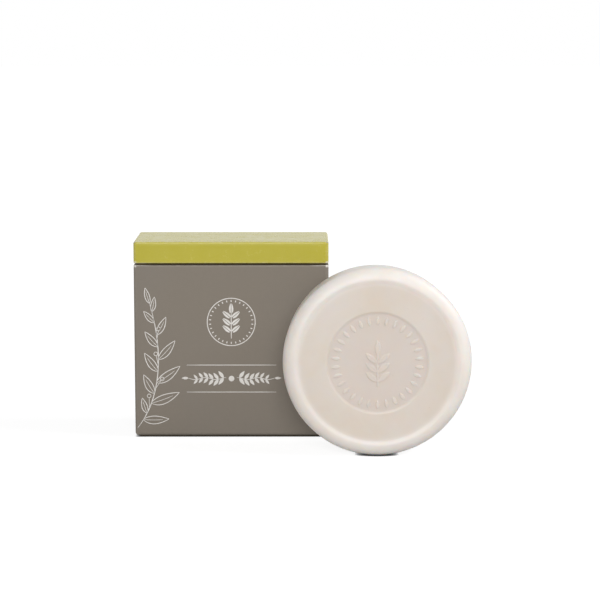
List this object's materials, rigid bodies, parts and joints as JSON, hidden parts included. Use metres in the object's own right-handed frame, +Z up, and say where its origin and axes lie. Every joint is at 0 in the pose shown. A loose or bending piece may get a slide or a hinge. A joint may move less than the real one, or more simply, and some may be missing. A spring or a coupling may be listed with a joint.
{
  "type": "shaving soap puck",
  "caption": "Round moulded shaving soap puck with a stamped face, beside the lidded paper-covered shoulder carton that stores it.",
  "frame": {"origin": "centre of the carton's underside, on the surface that the carton and the puck both stand on", "axes": "+Z up, out of the carton's lid; +X to the right along the carton's width, towards the puck; the carton's front and the puck's stamped face look towards -Y"},
  "size_m": [0.1107, 0.0603, 0.0662],
  "materials": {
    "soap": null,
    "greyboard": "raw recycled board",
    "taupe_paper": "printed, matt coated",
    "green_paper": "printed, matt coated",
    "dark_paper": "dyed, uncoated",
    "white_paper": "uncoated"
  },
  "bodies": {
    "base": {"base_board": "greyboard", "base_corner_stays": "white_paper", "base_wrap": "taupe_paper", "underside_card": "dark_paper", "base_floor_lining": "white_paper", "collar_board": "greyboard", "collar_wrap": "dark_paper"},
    "lid": {"lid_board": "greyboard", "lid_corner_stays": "white_paper", "lid_wrap": "green_paper", "lid_ceiling_lining": "white_paper"},
    "puck": {"soap_puck": "soap"}
  },
  "joints": [
    {"name": "lid_lift", "type": "slide", "parent": "base", "child": "lid", "axis": [0, 0, 1], "range_m": [0, 0.075]},
    {"name": "puck_lift", "type": "slide", "parent": "base", "child": "puck", "axis": [0, 0, 1], "range_m": [0, 0.08]}
  ]
}
